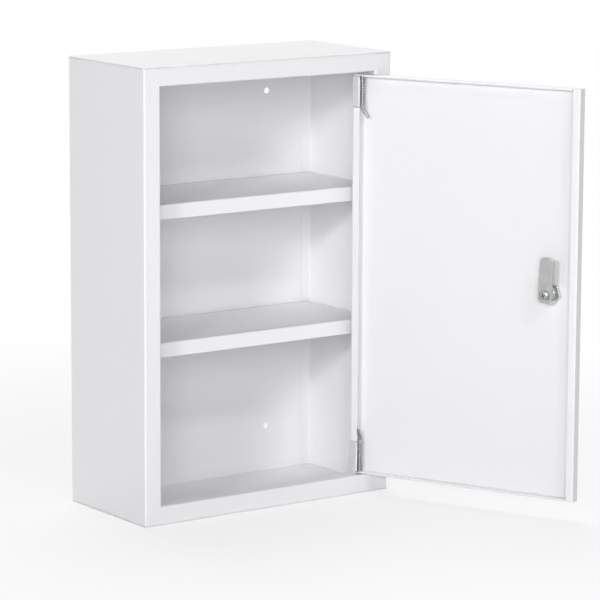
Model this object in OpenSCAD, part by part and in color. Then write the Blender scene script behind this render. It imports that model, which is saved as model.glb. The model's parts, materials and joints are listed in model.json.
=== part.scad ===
// Lockable wall cabinet for medicines, folded from powder-coated sheet steel.
// The origin is the centre of the four wall holes, on the back face.
// +X is the hinge side, +Y points into the wall and +Z is up. The door is drawn standing open.

/* [Case] */
// Width of the case
case_w = 298.5; // [260:0.5:360]
// Height of the case
case_h = 457.2; // [420:0.1:520]
// Depth of the case, from the wall to the door's face
case_d = 139.7; // [120:0.1:180]
// Thickness of the case and door sheet
sheet = 1.0; // [0.8:0.1:1.2]
// Inside radius of the bends in the sheet
bend_r = 1.0; // [0.6:0.1:1.4]
// Width of the front frame's face on all four sides
frame_face = 19.2; // [17:0.1:24]
// Depth of the flange that returns inwards all round the front opening
return_d = 15; // [14:0.5:15]
// Width of the side panels' flanges on the back
rear_flange = 12; // [8:0.5:18]
// Width of the narrow flanges that are welded under the top and on the bottom
weld_flange = 10; // [6:0.5:14]

/* [Wall holes] */
// Distance between the wall holes across the back
wall_hole_dx = 184; // [150:1:200]
// Distance between the wall holes up the back
wall_hole_dz = 358; // [320:1:380]
// Diameter of a wall hole
wall_hole_d = 6; // [5:0.5:8]

/* [Shelves] */
// Height of each shelf's top face above the underside of the case
shelf_heights = [179.5, 318.2];
// Depth of the shelves' turned-down edges
shelf_lip = 15; // [10:0.5:20]
// Distance from the door's face back to the shelves' front edges
shelf_setback = 23.5; // [23:0.5:40]

/* [Door] */
// Angle at which the door stands open
door_open = 114; // [0:1:117]
// Thickness of the folded door, face to lip
door_t = 12; // [11.5:0.1:12.2]
// Gap between the door's free edge and the frame
gap_free = 1.6; // [1.2:0.1:2.5]
// Gap between the door's hinge edge and the frame
gap_hinge = 2.5; // [2.3:0.1:2.8]
// Gap above the door
gap_top = 3; // [2:0.1:3.5]
// Gap below the door
gap_bottom = 1.2; // [1:0.1:2]
// Width of the lips folded in along the door's upright edges
door_lip = 8; // [7.8:0.1:8.2]
// Depth of the closed hems on the door's top and bottom walls
hem_d = 6; // [4:0.5:8]

/* [Hinges] */
// Distance from the door's hinge edge to the pins' axis
pin_inset = 8.6; // [8.5:0.1:8.8]
// Distance from the door's face to the pins' axis
pin_depth = 7.0; // [6.9:0.1:7.1]
// Diameter of a hinge pin
pin_d = 3.0; // [2.6:0.1:3.2]
// Radial clearance of a pin in its holes
pin_clear = 0.06; // [0.03:0.01:0.10]
// How far the upper pin's tip stands past the frame's flange
pin_reach = 4; // [3:0.5:5]
// How much longer the lower pin's collar is, which holds that pin back
lower_collar_extra = 3; // [0:0.5:3]
// Height of a hinge bracket
bracket_h = 33; // [31:0.5:36]
// Thickness of a hinge bracket
bracket_t = 1.0; // [0.8:0.1:1.2]
// Length of a pin's bent tail
tail_len = 11; // [8:0.5:13]
// Angle of a tail away from its pin's axis
tail_bend = 38; // [30:1:45]
// Outside diameter of a pin's spring
spring_d = 5.9; // [5.6:0.1:6.2]
// Diameter of the spring wire
wire_d = 0.8; // [0.6:0.1:0.9]
// Turns in each spring
spring_turns = 9; // [6:1:10]

/* [Lock] */
// Distance from the door's free edge to the lock's axis
lock_inset = 32.2; // [30:0.1:34]
// Diameter of the lock's threaded barrel
barrel_d = 16; // [15.5:0.5:17]
// Diameter of the lock's round front
bezel_d = 20; // [19:0.5:24]
// Diameter of the turning plug
plug_d = 12; // [11.5:0.5:12]
// Width of the nut across its flats
nut_af = 19; // [18.5:0.5:21]
// Length of the cam from the lock's axis to its tip
cam_reach = 38; // [36:0.5:40]
// Width of the cam at the lock's axis
cam_w = 15.5; // [14:0.5:16]
// Width of the cam's tip
cam_tip_w = 14.5; // [12:0.5:16]
// Angle by which the cam's plate leans off its square hole towards the door's free edge
cam_lean = 3; // [0:0.5:5]
// Thickness of the cam
cam_t = 2.0; // [1.5:0.1:2.5]

/* [Hidden] */
$fn = 48;

white = "whitesmoke";
zinc = "silver";
eps = 0.02;                         // gap between two round faces that are pressed together
shim = 0.1;                         // gap left between pieces that lie on each other loosely
over = 1;                           // how far a cut runs past the face it starts from

half_w = case_w / 2;
half_h = case_h / 2;
front_y = -case_d;
open_x = half_w - frame_face;       // the front opening runs from -open_x to open_x
open_z = half_h - frame_face;

door_left = -open_x + gap_free;
door_right = open_x - gap_hinge;
door_bottom = -open_z + gap_bottom;
door_top = open_z - gap_top;
lip_y = front_y + door_t;           // the door's rear face when it is shut

stop_gap = 0.4;                     // between the shut door and its stops
stop_w = 6;
stop_h = 20;
stop_z = 150;                       // height of the stops above and below the middle
hem_end_gap = 1;                    // between a hem's end and the lip beside it
hem_relief = 0.5;                   // between a hem's end and the hinge bracket's ear

pin_x = door_right - pin_inset;
pin_y = front_y + pin_depth;
pin_r = pin_d / 2;
ear_t = 1.2;
ear_r = 3.6;
plate_x = [1.2, 8.2];               // the bracket's plate, measured from the pin's axis
ear_gap = 0.4;                      // between an ear and the edge of the door's lip
pin_slack = 0.5;                    // radial room for a pin in the door's own walls
collar_r = 2.8;
collar_flange = 1.0;
collar_sleeve_r = 2.2;
upper_collar_h = 3.0;
collar_top = -ear_t - shim / 2;
tip_chamfer = 0.8;
tip_taper = 0.6;
knee_drop = 0.7;                    // the pin's knee lies this far past the inner ear
wall_hole_r = wall_hole_d / 2;
wire_r = wire_d / 2;
coil_r = (spring_d - wire_d) / 2;
rings_per_turn = 8;
wire_sides = 6;

lock_x = door_left + lock_inset;
lock_z = 0;
barrel_r = barrel_d / 2;
barrel_flat = barrel_d - 2;         // across the two flats
barrel_len = 14;
bezel_t = 2.2;
plug_r = plug_d / 2;
plug_clear = 0.06;
plug_recess = 0.5;                  // the plug's face below the bezel's
lock_washer_t = 0.8;
lock_washer_r = 9.4;
lock_tooth = 0.8;
lock_teeth = 12;
nut_t = 4.5;
nut_chamfer = 0.4;                  // cut off the nut's corners
nut_turn = -15;                     // where the nut came to rest when it was tightened
keyway = [2.0, 8.0, 11.0];          // width, height and depth
wafer = [7.0, 1.0, 9.0];
wafer_count = 4;
wafer_pitch = 2.2;
wafer_gap = 0.1;
square_w = 7;                       // square end of the plug that drives the cam
stop_washer_r = 7.6;
stop_washer_t = 2.0;
stop_washer_y = front_y + barrel_len + shim;
cam_y = stop_washer_y + stop_washer_t + shim;
cam_heel = 8;                       // from the axis to the cam's lower end
cam_corner = 5;
screw_washer_t = 0.7;
screw_washer_r = 4.4;
screw_r = 2.0;
screw_head_r = 5.0;
screw_head_h = 2.4;
screw_head_taper = 1.2;
screw_len = 9;
screw_y = cam_y + cam_t - front_y + shim;
head_y = screw_y + screw_washer_t;
shank_y = head_y + shim - screw_len;   // the screw's end, from the door's face
hole_depth_past_screw = 0.3;
recess_w = 1.1;
recess_len = 5.2;
recess_depth = 1.4;

// ---------------------------------------------------------------- folded sheet

function unit(v) = v / norm(v);

// One straight leg of sheet from a to b, both on the sheet's middle line and square to an axis
module leg(a, b, t) {
    across = [a[0] == b[0] ? t / 2 : 0, a[1] == b[1] ? t / 2 : 0];
    low = [min(a[0], b[0]), min(a[1], b[1])] - across;
    high = [max(a[0], b[0]), max(a[1], b[1])] + across;
    translate(low) square(high - low);
}

// A quarter ring of sheet, bent round centre c towards the corner v
module bend(c, v, r, t) {
    far = c + (r + t) * [sign(v[0] - c[0]), sign(v[1] - c[1])];
    intersection() {
        translate(c) difference() {
            circle(r + t);
            circle(r);
        }
        translate([min(c[0], far[0]), min(c[1], far[1])]) square(r + t);
    }
}

// The section of a folded sheet whose middle line runs through right-angled corners
module folded(path, t = sheet, r = bend_r) {
    mid_r = r + t / 2;
    last = len(path) - 1;
    for (i = [0 : last - 1]) {
        along = unit(path[i + 1] - path[i]);
        leg(path[i] + (i > 0 ? mid_r : 0) * along, path[i + 1] - (i < last - 1 ? mid_r : 0) * along, t);
    }
    for (i = [1 : last - 1]) {
        into = unit(path[i] - path[i - 1]);
        out = unit(path[i + 1] - path[i]);
        bend(path[i] - mid_r * into + mid_r * out, path[i], r, t);
    }
}

// A section drawn in Y and Z, run along X
module along_x(x0, x1) {
    translate([x0, 0, 0]) rotate([90, 0, 90]) linear_extrude(x1 - x0) children();
}

// A section drawn in X and Y, run up from z0 to z1
module along_z(z0, z1) {
    translate([0, 0, z0]) linear_extrude(z1 - z0) children();
}

module block(low, high) {
    translate(low) cube(high - low);
}

// ---------------------------------------------------------------- case

// Right side: rear flange, side wall and front stile, with a return flange along the opening
module side_panel() {
    mid = sheet / 2;
    wall_x = half_w - mid;
    stile = [[wall_x, front_y + mid], [wall_x, -mid], [half_w - rear_flange, -mid]];
    for (side = [-1, 1])
        along_z(side > 0 ? open_z : -half_h + sheet, side > 0 ? half_h - sheet : -open_z)
            folded(concat([[open_x, front_y + mid]], stile));
    along_z(-open_z, open_z)
        folded(concat([[open_x + mid, front_y + return_d], [open_x + mid, front_y + mid]], stile));
    for (side = [-1, 1])
        block([half_w - weld_flange, front_y + frame_face, side * (half_h - 1.5 * sheet) - mid],
              [half_w - mid, -rear_flange, side * (half_h - 1.5 * sheet) + mid]);
}

module right_side_panel() {
    color(white) side_panel();
}

module left_side_panel() {
    color(white) mirror([1, 0, 0]) side_panel();
}

// A small angle, welded by its foot to the left return flange, that the shut door rests against
module door_stop(height) {
    color(white) {
        block([-open_x, lip_y + stop_gap, height - stop_h / 2],
              [-open_x + stop_w, lip_y + stop_gap + sheet, height + stop_h / 2]);
        block([-open_x, lip_y + stop_gap + sheet / 2, height - stop_h / 2],
              [-open_x + sheet, front_y + return_d, height + stop_h / 2]);
    }
}

module upper_door_stop() {
    door_stop(stop_z);
}

module lower_door_stop() {
    door_stop(-stop_z);
}

// Upper rail of the frame, between the stiles, with the hole for the upper hinge pin
module rail() {
    mid = sheet / 2;
    difference() {
        along_x(-open_x, open_x)
            folded([[front_y + return_d, open_z + mid], [front_y + mid, open_z + mid],
                    [front_y + mid, half_h - 1.5 * sheet], [front_y + weld_flange, half_h - 1.5 * sheet]]);
        translate([pin_x, pin_y, open_z - over]) cylinder(h = sheet + 2 * over, r = pin_r + pin_clear);
    }
}

module top_rail() {
    color(white) rail();
}

module bottom_rail() {
    color(white) mirror([0, 0, 1]) rail();
}

module top_panel() {
    color(white) block([-half_w, front_y, half_h - sheet], [half_w, 0, half_h]);
}

module bottom_panel() {
    color(white) block([-half_w, front_y, -half_h], [half_w, 0, -half_h + sheet]);
}

module back_panel() {
    color(white) difference() {
        block([-half_w + rear_flange, -sheet, -half_h + sheet], [half_w - rear_flange, 0, half_h - sheet]);
        for (x = [-1, 1], z = [-1, 1])
            translate([x * wall_hole_dx / 2, over, z * wall_hole_dz / 2])
                rotate([90, 0, 0]) cylinder(h = sheet + 2 * over, r = wall_hole_r);
    }
}

// A shelf is a shallow tray turned upside down, welded between the side walls
module shelf(height) {
    mid = sheet / 2;
    top = height - half_h;
    front = front_y + shelf_setback;
    rear = -sheet - bend_r;
    side = half_w - sheet;
    color(white) {
        along_x(-side, side)
            folded([[front + mid, top - shelf_lip], [front + mid, top - mid],
                    [rear - mid, top - mid], [rear - mid, top - shelf_lip]]);
        for (x = [-side, side - sheet])
            block([x, front + sheet + bend_r, top - shelf_lip],
                  [x + sheet, rear - sheet - bend_r, top - mid]);
    }
}

module lower_shelf() {
    shelf(shelf_heights[0]);
}

module upper_shelf() {
    shelf(shelf_heights[1]);
}

// ---------------------------------------------------------------- door

// Turns a piece that is drawn on the shut door out to where the door stands
module on_door() {
    translate([pin_x, pin_y, 0]) rotate([0, 0, door_open]) translate([-pin_x, -pin_y, 0]) children();
}

// The door's top wall with its closed hem, which stops short of the hinge bracket.
// The bottom wall is the same upside down.
module door_wall() {
    inner = door_top - sheet;
    block([door_left + sheet, front_y + sheet / 2, inner], [door_right - sheet, lip_y - sheet, door_top]);
    hem_x = [door_left + door_lip + hem_end_gap, pin_x - ear_r - hem_relief];
    block([hem_x[0], lip_y - hem_d, inner - sheet], [hem_x[1], lip_y - sheet, door_top]);
    translate([hem_x[0], lip_y - sheet, inner]) rotate([0, 90, 0])
        cylinder(h = hem_x[1] - hem_x[0], r = sheet);
}

// A round shape with a flat at its top and bottom, which keeps the lock from turning
module double_d(r, flat, h) {
    intersection() {
        cylinder(h = h, r = r);
        translate([-r, -flat / 2, 0]) cube([2 * r, flat, h]);
    }
}

// Sets a piece drawn up its own Z axis on the lock's axis, starting y behind the door's face
module on_lock(y) {
    translate([lock_x, front_y + y, lock_z]) rotate([-90, 0, 0]) children();
}

module door_panel() {
    mid = sheet / 2;
    color(white) on_door() difference() {
        union() {
            along_z(door_bottom, door_top)
                folded([[door_left + door_lip, lip_y - mid], [door_left + mid, lip_y - mid],
                        [door_left + mid, front_y + mid], [door_right - mid, front_y + mid],
                        [door_right - mid, lip_y - mid], [door_right - door_lip, lip_y - mid]]);
            door_wall();
            translate([0, 0, door_top + door_bottom]) mirror([0, 0, 1]) door_wall();
        }
        for (z = [door_bottom, door_top - sheet])
            translate([pin_x, pin_y, z - over]) cylinder(h = sheet + 2 * over, r = pin_r + pin_slack);
        on_lock(-over) double_d(barrel_r + shim, barrel_flat + 2 * shim, sheet + 2 * over);
    }
}

// ---------------------------------------------------------------- hinges

// Each hinge is drawn as the upper one, from z = 0 at its outer ear down to -bracket_h.
// The upper hinge hangs below the door's top wall, and the lower one is its mirror image.
module at_upper_hinge() {
    on_door() translate([pin_x, pin_y, door_top - sheet]) children();
}

module at_lower_hinge() {
    on_door() translate([pin_x, pin_y, door_bottom + sheet]) mirror([0, 0, 1]) children();
}

lip_from_pin = lip_y - pin_y;       // the rear face of the door's lip, measured from the pin's axis
lip_edge_x = pin_inset - door_lip;  // the lip's free edge, measured from the pin's axis

// A plate on the door's lip, and two ears that reach round the lip's edge to the pin
module hinge_bracket() {
    color(zinc) difference() {
        union() {
            block([plate_x[0], lip_from_pin, -bracket_h], [plate_x[1], lip_from_pin + bracket_t, 0]);
            for (z = [-ear_t, -bracket_h]) {
                block([-ear_r, lip_from_pin, z], [plate_x[1], lip_from_pin + bracket_t, z + ear_t]);
                block([-ear_r, 0, z], [lip_edge_x - ear_gap, lip_from_pin + bracket_t, z + ear_t]);
                translate([0, 0, z]) cylinder(h = ear_t, r = ear_r);
            }
        }
        translate([0, 0, -bracket_h - over]) cylinder(h = bracket_h + 2 * over, r = pin_r + pin_clear);
    }
}

// The pin runs up through both ears into the frame, and its lower end is a bent tail to pull it by.
// It is drawn as far out as the upper pin stands, then held back by its longer collar.
module hinge_pin(held_back, tail_turn) {
    tip = 2 * sheet + gap_top + pin_reach;
    knee = -bracket_h - knee_drop;
    color(zinc) translate([0, 0, -held_back]) {
        translate([0, 0, knee]) cylinder(h = tip - tip_chamfer - knee, r = pin_r);
        translate([0, 0, tip - tip_chamfer]) cylinder(h = tip_chamfer, r1 = pin_r, r2 = pin_r - tip_taper);
        translate([0, 0, knee]) sphere(pin_r);
        translate([0, 0, knee]) rotate([0, 0, tail_turn]) rotate([0, 180 + tail_bend, 0]) {
            cylinder(h = tail_len, r = pin_r);
            translate([0, 0, tail_len]) sphere(pin_r);
        }
    }
}

// A flanged collar pressed on the pin: the ear stops it, and the spring pushes on its flange
module pin_collar(h) {
    color(zinc) translate([0, 0, collar_top - h]) difference() {
        union() {
            cylinder(h = collar_flange, r = collar_r);
            cylinder(h = h, r = collar_sleeve_r);
        }
        translate([0, 0, -over]) cylinder(h = h + 2 * over, r = pin_r + eps);
    }
}

spring_low = -bracket_h + ear_t + eps;
wound_low = spring_low + wire_d;
spring_steps = spring_turns * rings_per_turn;

function coil_angle(i) = 360 * i / rings_per_turn;
function coil_point(i, high) = [coil_r * cos(coil_angle(i)), coil_r * sin(coil_angle(i)),
                                wound_low + (high - wire_d - wound_low) * i / spring_steps];
// The wire stands straight for one wire diameter at each end, where it meets the ear and the collar
function spring_path(high) = concat(
    [[coil_r, 0, spring_low]],
    [for (i = [0 : spring_steps]) coil_point(i, high)],
    [coil_point(spring_steps, high) + [0, 0, wire_d]]);
upper_spring_high = collar_top - upper_collar_h - eps;
lower_spring_high = upper_spring_high - lower_collar_extra;
spring_gap = min([for (i = [0 : spring_steps - rings_per_turn], j = [-1 : 1])
    let (k = min(spring_steps, i + rings_per_turn + j))
    norm(coil_point(k, lower_spring_high) - coil_point(i, lower_spring_high))]) - wire_d;
echo(least_gap_between_spring_turns_mm = spring_gap);

// The direction of a path at point i, midway between its two neighbours' directions
function heading(path, i) =
    let (before = i > 0 ? unit(path[i] - path[i - 1]) : unit(path[1] - path[0]),
         after = i < len(path) - 1 ? unit(path[i + 1] - path[i]) : before)
    unit(before + after);

// A tube of round wire along a path that winds about the Z axis
module wire(path, r, sides) {
    rings = [for (i = [0 : len(path) - 1])
        let (ahead = heading(path, i),
             out = unit([path[i][0], path[i][1], 0]),
             u = unit(out - (out * ahead) * ahead),
             v = cross(ahead, u))
        for (s = [0 : sides - 1]) path[i] + r * (cos(360 * s / sides) * u + sin(360 * s / sides) * v)];
    last = len(path) - 1;
    skin = [for (i = [0 : last - 1], s = [0 : sides - 1])
        let (a = i * sides + s, b = i * sides + (s + 1) % sides)
        each [[a, a + sides, b], [b, a + sides, b + sides]]];
    end = last * sides;
    ends = [for (s = [1 : sides - 2]) each [[0, s, s + 1], [end, end + s + 1, end + s]]];
    polyhedron(points = rings, faces = concat(skin, ends));
}

module pin_spring(high) {
    color(zinc) wire(spring_path(high), wire_r, wire_sides);
}

module upper_hinge_bracket() {
    at_upper_hinge() hinge_bracket();
}

module upper_hinge_pin() {
    at_upper_hinge() hinge_pin(0, 0);
}

module upper_pin_collar() {
    at_upper_hinge() pin_collar(upper_collar_h);
}

module upper_pin_spring() {
    at_upper_hinge() pin_spring(upper_spring_high);
}

module lower_hinge_bracket() {
    at_lower_hinge() hinge_bracket();
}

module lower_hinge_pin() {
    at_lower_hinge() hinge_pin(lower_collar_extra, -76);
}

module lower_pin_collar() {
    at_lower_hinge() pin_collar(upper_collar_h + lower_collar_extra);
}

module lower_pin_spring() {
    at_lower_hinge() pin_spring(lower_spring_high);
}

// ---------------------------------------------------------------- lock

module lock_housing() {
    color(zinc) on_door() difference() {
        union() {
            on_lock(-bezel_t) cylinder(h = bezel_t, r = bezel_d / 2);
            on_lock(-eps) double_d(barrel_r, barrel_flat, barrel_len + eps);
        }
        on_lock(-bezel_t - over) cylinder(h = bezel_t + barrel_len + 2 * over, r = plug_r + plug_clear);
    }
}

module lock_washer() {
    color(zinc) on_door() on_lock(sheet) difference() {
        cylinder(h = lock_washer_t, r = lock_washer_r);
        translate([0, 0, -over]) cylinder(h = lock_washer_t + 2 * over, r = barrel_r + shim);
        for (i = [0 : lock_teeth - 1])
            rotate([0, 0, i * 360 / lock_teeth])
                translate([lock_washer_r - lock_tooth, -lock_tooth / 2, -over])
                    cube([2 * lock_tooth, lock_tooth, lock_washer_t + 2 * over]);
    }
}

module lock_nut() {
    color(zinc) on_door() on_lock(sheet + lock_washer_t) difference() {
        intersection() {
            rotate([0, 0, nut_turn]) cylinder(h = nut_t, r = nut_af / sqrt(3), $fn = 6);
            cylinder(h = nut_t, r = nut_af / sqrt(3) - nut_chamfer);
        }
        translate([0, 0, -over]) cylinder(h = nut_t + 2 * over, r = barrel_r + eps);
    }
}

wafer_first = 2.2;                  // from the plug's front face to its first wafer

module plug_slots(extra) {
    for (i = [0 : wafer_count - 1])
        translate([-wafer[0] / 2 - extra, -wafer[2] / 2 - extra, wafer_first + i * wafer_pitch - extra])
            cube([wafer[0] + 2 * extra, wafer[2] + 2 * extra, wafer[1] + 2 * extra]);
}

module key_slot() {
    translate([-keyway[0] / 2, -keyway[1] / 2, -over]) cube([keyway[0], keyway[1], keyway[2] + over]);
}

// The plug turns in the housing, and its square end carries the stop washer and the cam
module lock_plug() {
    front = plug_recess - bezel_t;
    square_len = cam_y + cam_t - front_y - barrel_len;
    color(zinc) on_door() difference() {
        union() {
            on_lock(front) cylinder(h = barrel_len - front, r = plug_r);
            on_lock(barrel_len - eps) translate([-square_w / 2, -square_w / 2, 0])
                cube([square_w, square_w, square_len]);
        }
        on_lock(front) key_slot();
        on_lock(front) plug_slots(wafer_gap);
        on_lock(shank_y - hole_depth_past_screw) cylinder(h = screw_len + over, r = screw_r + eps);
    }
}

module lock_wafers() {
    color("goldenrod") on_door() on_lock(plug_recess - bezel_t) difference() {
        plug_slots(0);
        key_slot();
    }
}

module square_hole(t) {
    side = square_w + 2 * shim;
    translate([-side / 2, -side / 2, -over]) cube([side, side, t + 2 * over]);
}

module cam_stop_washer() {
    color(zinc) on_door() on_lock(stop_washer_y - front_y) difference() {
        cylinder(h = stop_washer_t, r = stop_washer_r);
        square_hole(stop_washer_t);
    }
}

// A flat plate with rounded corners that narrows to its tip, pointing up while the door is unlocked
module lock_cam() {
    color(zinc) on_door() on_lock(cam_y - front_y) difference() {
        rotate([0, 0, -cam_lean]) linear_extrude(cam_t) hull()
            for (side = [-1, 1]) {
                translate([side * (cam_w / 2 - cam_corner), cam_heel - cam_corner]) circle(cam_corner);
                translate([side * (cam_tip_w / 2 - cam_corner), cam_corner - cam_reach]) circle(cam_corner);
            }
        square_hole(cam_t);
    }
}

module screw_washer() {
    color(zinc) on_door() on_lock(screw_y) difference() {
        cylinder(h = screw_washer_t, r = screw_washer_r);
        translate([0, 0, -over]) cylinder(h = screw_washer_t + 2 * over, r = screw_r + shim);
    }
}

// Pan-headed screw with a cross recess, up the plug's square end
module cam_screw() {
    color(zinc) on_door() difference() {
        union() {
            on_lock(head_y)
                cylinder(h = screw_head_h, r1 = screw_head_r, r2 = screw_head_r - screw_head_taper);
            on_lock(shank_y) cylinder(h = screw_len, r = screw_r);
        }
        on_lock(head_y + screw_head_h - recess_depth)
            for (turn = [0, 90])
                rotate([0, 0, turn]) translate([-recess_len / 2, -recess_w / 2, 0])
                    cube([recess_len, recess_w, recess_depth + over]);
    }
}

left_side_panel();
right_side_panel();
top_rail();
bottom_rail();
top_panel();
bottom_panel();
back_panel();
lower_shelf();
upper_shelf();
upper_door_stop();
lower_door_stop();
door_panel();
upper_hinge_bracket();
upper_hinge_pin();
upper_pin_collar();
upper_pin_spring();
lower_hinge_bracket();
lower_hinge_pin();
lower_pin_collar();
lower_pin_spring();
lock_housing();
lock_washer();
lock_nut();
lock_plug();
lock_wafers();
cam_stop_washer();
lock_cam();
screw_washer();
cam_screw();
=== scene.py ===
"""A lockable wall cabinet for medicines, standing with its door open.

The case, shelves and door are folded from sheet steel and powder coated white. The door hangs on
two spring-loaded pins and is held shut by a cam lock. Everything is in metres, in the CAD frame:
+X is the hinge side, +Y goes into the wall and +Z is up.
"""

import json
import math

import bmesh
import bpy
from mathutils import Matrix, Quaternion, Vector


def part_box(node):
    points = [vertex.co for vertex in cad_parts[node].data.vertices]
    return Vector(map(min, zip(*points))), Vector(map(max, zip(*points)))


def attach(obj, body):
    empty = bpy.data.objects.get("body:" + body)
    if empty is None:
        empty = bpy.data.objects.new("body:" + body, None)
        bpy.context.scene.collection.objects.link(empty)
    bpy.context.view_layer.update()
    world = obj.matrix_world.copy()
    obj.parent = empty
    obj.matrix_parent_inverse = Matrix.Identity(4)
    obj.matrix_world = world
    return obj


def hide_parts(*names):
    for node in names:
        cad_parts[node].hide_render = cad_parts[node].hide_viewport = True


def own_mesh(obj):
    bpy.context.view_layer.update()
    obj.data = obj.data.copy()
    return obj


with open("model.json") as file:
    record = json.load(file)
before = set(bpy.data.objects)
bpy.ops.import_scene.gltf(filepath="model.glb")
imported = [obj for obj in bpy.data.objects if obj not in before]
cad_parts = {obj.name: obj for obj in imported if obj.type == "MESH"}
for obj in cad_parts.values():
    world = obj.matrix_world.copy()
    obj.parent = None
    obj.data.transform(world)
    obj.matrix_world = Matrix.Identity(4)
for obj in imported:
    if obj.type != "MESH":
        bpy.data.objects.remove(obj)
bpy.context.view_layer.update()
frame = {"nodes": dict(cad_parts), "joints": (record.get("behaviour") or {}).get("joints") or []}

MM = 0.001

# ---------------------------------------------------------------- camera

CAMERA_PLACE = (-1839.9 * MM, -2777.1 * MM, 561.0 * MM)
CAMERA_AZIMUTH = -35.44             # degrees, 0 looks along +Y
CAMERA_ELEVATION = 10.13
CAMERA_ROLL = 0.26
CAMERA_LENS = 194.98                # millimetres, as is the sensor's width
SENSOR_WIDTH = 36
CLIP_NEAR, CLIP_FAR = 0.1, 100      # metres


def new_object(name, data):
    """Adds an object with this data to the scene."""
    made = bpy.data.objects.new(name, data)
    bpy.context.scene.collection.objects.link(made)
    return made


def look_from(made, azimuth, elevation, roll=0):
    """Turns an object to look from these angles in degrees, and returns the direction back to it."""
    a, e = math.radians(azimuth), math.radians(elevation)
    back = Vector((math.sin(a) * math.cos(e), -math.cos(a) * math.cos(e), math.sin(e)))
    level = (-back).to_track_quat("-Z", "Y")
    made.rotation_mode = "QUATERNION"
    made.rotation_quaternion = level @ Quaternion((0, 0, 1), math.radians(roll))
    return back


def set_camera():
    camera = new_object("camera", bpy.data.cameras.new("camera"))
    camera.location = CAMERA_PLACE
    look_from(camera, CAMERA_AZIMUTH, CAMERA_ELEVATION, CAMERA_ROLL)
    camera.data.lens = CAMERA_LENS
    camera.data.sensor_width = SENSOR_WIDTH
    camera.data.clip_start, camera.data.clip_end = CLIP_NEAR, CLIP_FAR
    bpy.context.scene.camera = camera


set_camera()

# ---------------------------------------------------------------- places, from the frame


def node_box(node_name, turn):
    """Lowest and highest corner of a CAD node, after turn has been applied to it."""
    points = [turn @ v.co for v in frame["nodes"][node_name].data.vertices]
    return (Vector([min(p[i] for p in points) for i in range(3)]),
            Vector([max(p[i] for p in points) for i in range(3)]))


joints = {joint["name"]: joint for joint in frame["joints"]}
PIN = Vector(joints["door_swing"]["pos_m"])
DOOR_ANGLE = -math.radians(joints["door_swing"]["range_deg"][0])
TO_PIN = Matrix.Translation((PIN.x, PIN.y, 0))
# The door and all it carries are drawn shut, where they line up with the axes, then swung open
OPEN = TO_PIN @ Matrix.Rotation(DOOR_ANGLE, 4, "Z") @ TO_PIN.inverted()
SHUT = OPEN.inverted()

top_low, top_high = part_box("top_panel")
SHEET = top_high.z - top_low.z
HALF_W, HALF_H, FRONT = top_high.x, top_high.z, top_low.y
rail_low, rail_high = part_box("top_rail")
OPEN_X, OPEN_Z = rail_high.x, rail_low.z
RETURN_REAR = rail_high.y                       # rear edge of the flange round the opening
BACK_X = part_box("back_panel")[1].x              # the back meets the side panels' rear flanges here
door_low, door_high = node_box("door_panel", SHUT)
LIP_Y = door_high.y                             # rear face of the shut door
lock_low, lock_high = node_box("lock_housing", SHUT)
LOCK_X, LOCK_Z = (lock_low.x + lock_high.x) / 2, (lock_low.z + lock_high.z) / 2

BEND_R = 2.0 * MM                               # outside radius of a fold in the sheet
SMALL_BEND_R = 1.5 * MM                         # and of a fold in a small pressed part
SEAM_R = 0.3 * MM                               # rounding of a sheared and coated edge
PIN_HOLE_R = 1.56 * MM                          # hole that a hinge pin slides in
SHIM = 0.1 * MM                                 # play between pieces that slide over each other
SLIVER = 0.02 * MM                              # keeps a cut clear of a face that lies beside it
SAME = 1e-6                                     # points closer than this are one point

CORNERS = ((-1, -1), (1, -1), (1, 1), (-1, 1))

# ---------------------------------------------------------------- mesh helpers

EASED = math.radians(50)                        # edges that turn further than this are softened
SHARP = math.radians(35)                        # and further than this are shaded as edges
FLAT_WITHIN = math.radians(0.5)                 # faces that turn less than this are joined


def new_mesh(name, bm):
    """Turns a bmesh, which is used up, into a mesh."""
    mesh = bpy.data.meshes.new(name)
    bm.to_mesh(mesh)
    bm.free()
    return mesh


def push(bm, edges, move):
    """Draws a strip of sheet out of these edges by a vector, and returns the strip's far edges."""
    made = bmesh.ops.extrude_edge_only(bm, edges=edges)["geom"]
    far = {g for g in made if isinstance(g, bmesh.types.BMVert)}
    bmesh.ops.translate(bm, verts=list(far), vec=move)
    return [g for g in made if isinstance(g, bmesh.types.BMEdge) and set(g.verts) <= far]


def lying(edges, axis, value):
    """Those of the edges that lie wholly at one height along an axis."""
    return [e for e in edges if all(abs(v.co[axis] - value) < SAME for v in e.verts)]


def cut_across(bm, place, towards, keep_all=False):
    """Cuts a mesh along a plane, and keeps the side that towards points to, or both sides."""
    parts = bm.verts[:] + bm.edges[:] + bm.faces[:]
    made = bmesh.ops.bisect_plane(bm, geom=parts, dist=SAME, plane_co=place, plane_no=towards,
                                  clear_inner=not keep_all)
    return [g for g in made["geom_cut"] if isinstance(g, bmesh.types.BMEdge)]


def round_off(bm, edges, radius, segments):
    """Rounds these edges."""
    bmesh.ops.bevel(bm, geom=edges, offset=radius, segments=segments, profile=0.5,
                    affect="EDGES", material=-1, clamp_overlap=False)


def fold(bm, edges, radius=BEND_R, segments=5):
    """Rounds these creases to a sheet's bending radius."""
    round_off(bm, edges, radius, segments)
    bmesh.ops.remove_doubles(bm, verts=bm.verts, dist=SAME)


def thicken(bm, outward):
    """Gives a skin the sheet's thickness, on the side away from outward at its widest face."""
    bmesh.ops.recalc_face_normals(bm, faces=bm.faces)
    widest = max(bm.faces, key=lambda face: face.calc_area())
    if widest.normal.dot(Vector(outward)) < 0:
        bmesh.ops.reverse_faces(bm, faces=bm.faces)
    bmesh.ops.solidify(bm, geom=bm.faces[:], thickness=SHEET)
    bmesh.ops.recalc_face_normals(bm, faces=bm.faces)


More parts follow.
